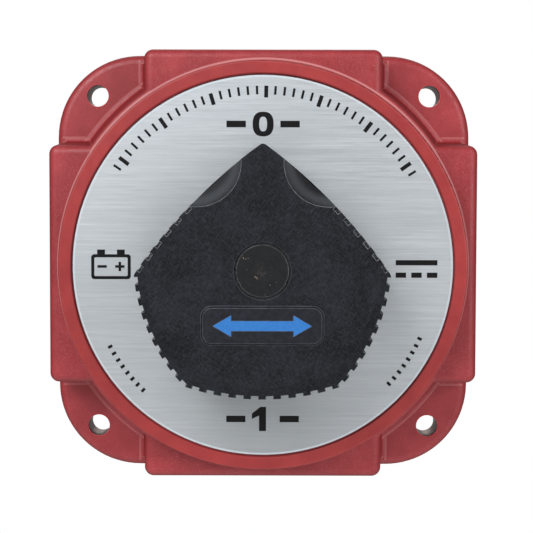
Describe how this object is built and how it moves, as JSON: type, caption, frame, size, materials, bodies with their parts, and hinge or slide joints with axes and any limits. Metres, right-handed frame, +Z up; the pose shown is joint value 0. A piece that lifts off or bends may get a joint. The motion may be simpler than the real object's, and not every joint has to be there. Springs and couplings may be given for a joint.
{
  "type": "battery switch",
  "caption": "Square-bodied surface-mount battery isolator with a round aluminium dial, a five-sided turning knob, and stud terminals behind.",
  "frame": {"origin": "centre of the four mounting holes, on the mounting face at the back of the housing", "axes": "-Y points out of the front, along the knob's axis, towards the person at the switch; +Z points up the dial to its off mark; +X points to the right"},
  "size_m": [0.17, 0.0895, 0.17],
  "materials": {
    "housing_red": "moulded glass-filled polyester, satin, red",
    "dial_aluminium": "brushed along one way, clear lacquer",
    "knob_black": "moulded, fine spark grain, blue-black",
    "cap_black": "moulded, satin",
    "badge_black": "moulded, satin",
    "inlay_blue": "printed, satin",
    "steel": "stainless, machined",
    "spring_steel": "stainless spring strip",
    "copper": "tinned copper, satin",
    "bronze": "sintered bronze, oiled",
    "brass": "turned",
    "phenolic": "moulded thermoset, dark",
    "acetal": "machined, natural white",
    "seal_rubber": "nitrile, black",
    "sleeve_steel": "plain, dulled"
  },
  "bodies": {
    "body": {"housing": "housing_red", "mounting_sleeves": "sleeve_steel", "dial_plate": "dial_aluminium", "shaft_bushing": "bronze", "terminal_base": "phenolic", "base_gasket": "seal_rubber", "base_screws": "steel", "fixed_contact_left": "copper", "fixed_contact_right": "copper", "terminal_stud_left": "copper", "terminal_stud_right": "copper", "stud_flat_washers": "steel", "stud_lock_washers": "steel", "stud_nuts": "steel", "detent_spring": "spring_steel"},
    "rotor": {"spindle": "brass", "spindle_seal": "seal_rubber", "thrust_washer": "acetal", "spindle_circlip": "spring_steel", "rotor_carrier": "phenolic", "contact_segment": "copper", "segment_rivets": "brass", "disc_spring_lower": "spring_steel", "disc_spring_upper": "spring_steel", "knob": "knob_black", "knob_cap": "cap_black", "knob_screw_washer": "steel", "knob_screw": "steel", "knob_badge": "badge_black", "badge_inlay": "inlay_blue"}
  },
  "joints": [
    {"name": "switch_turn", "type": "hinge", "parent": "body", "child": "rotor", "pos_m": [0, -0.04, 0], "axis": [0, 1, 0], "range_deg": [0, 180], "deforming": ["detent_spring"]}
  ]
}
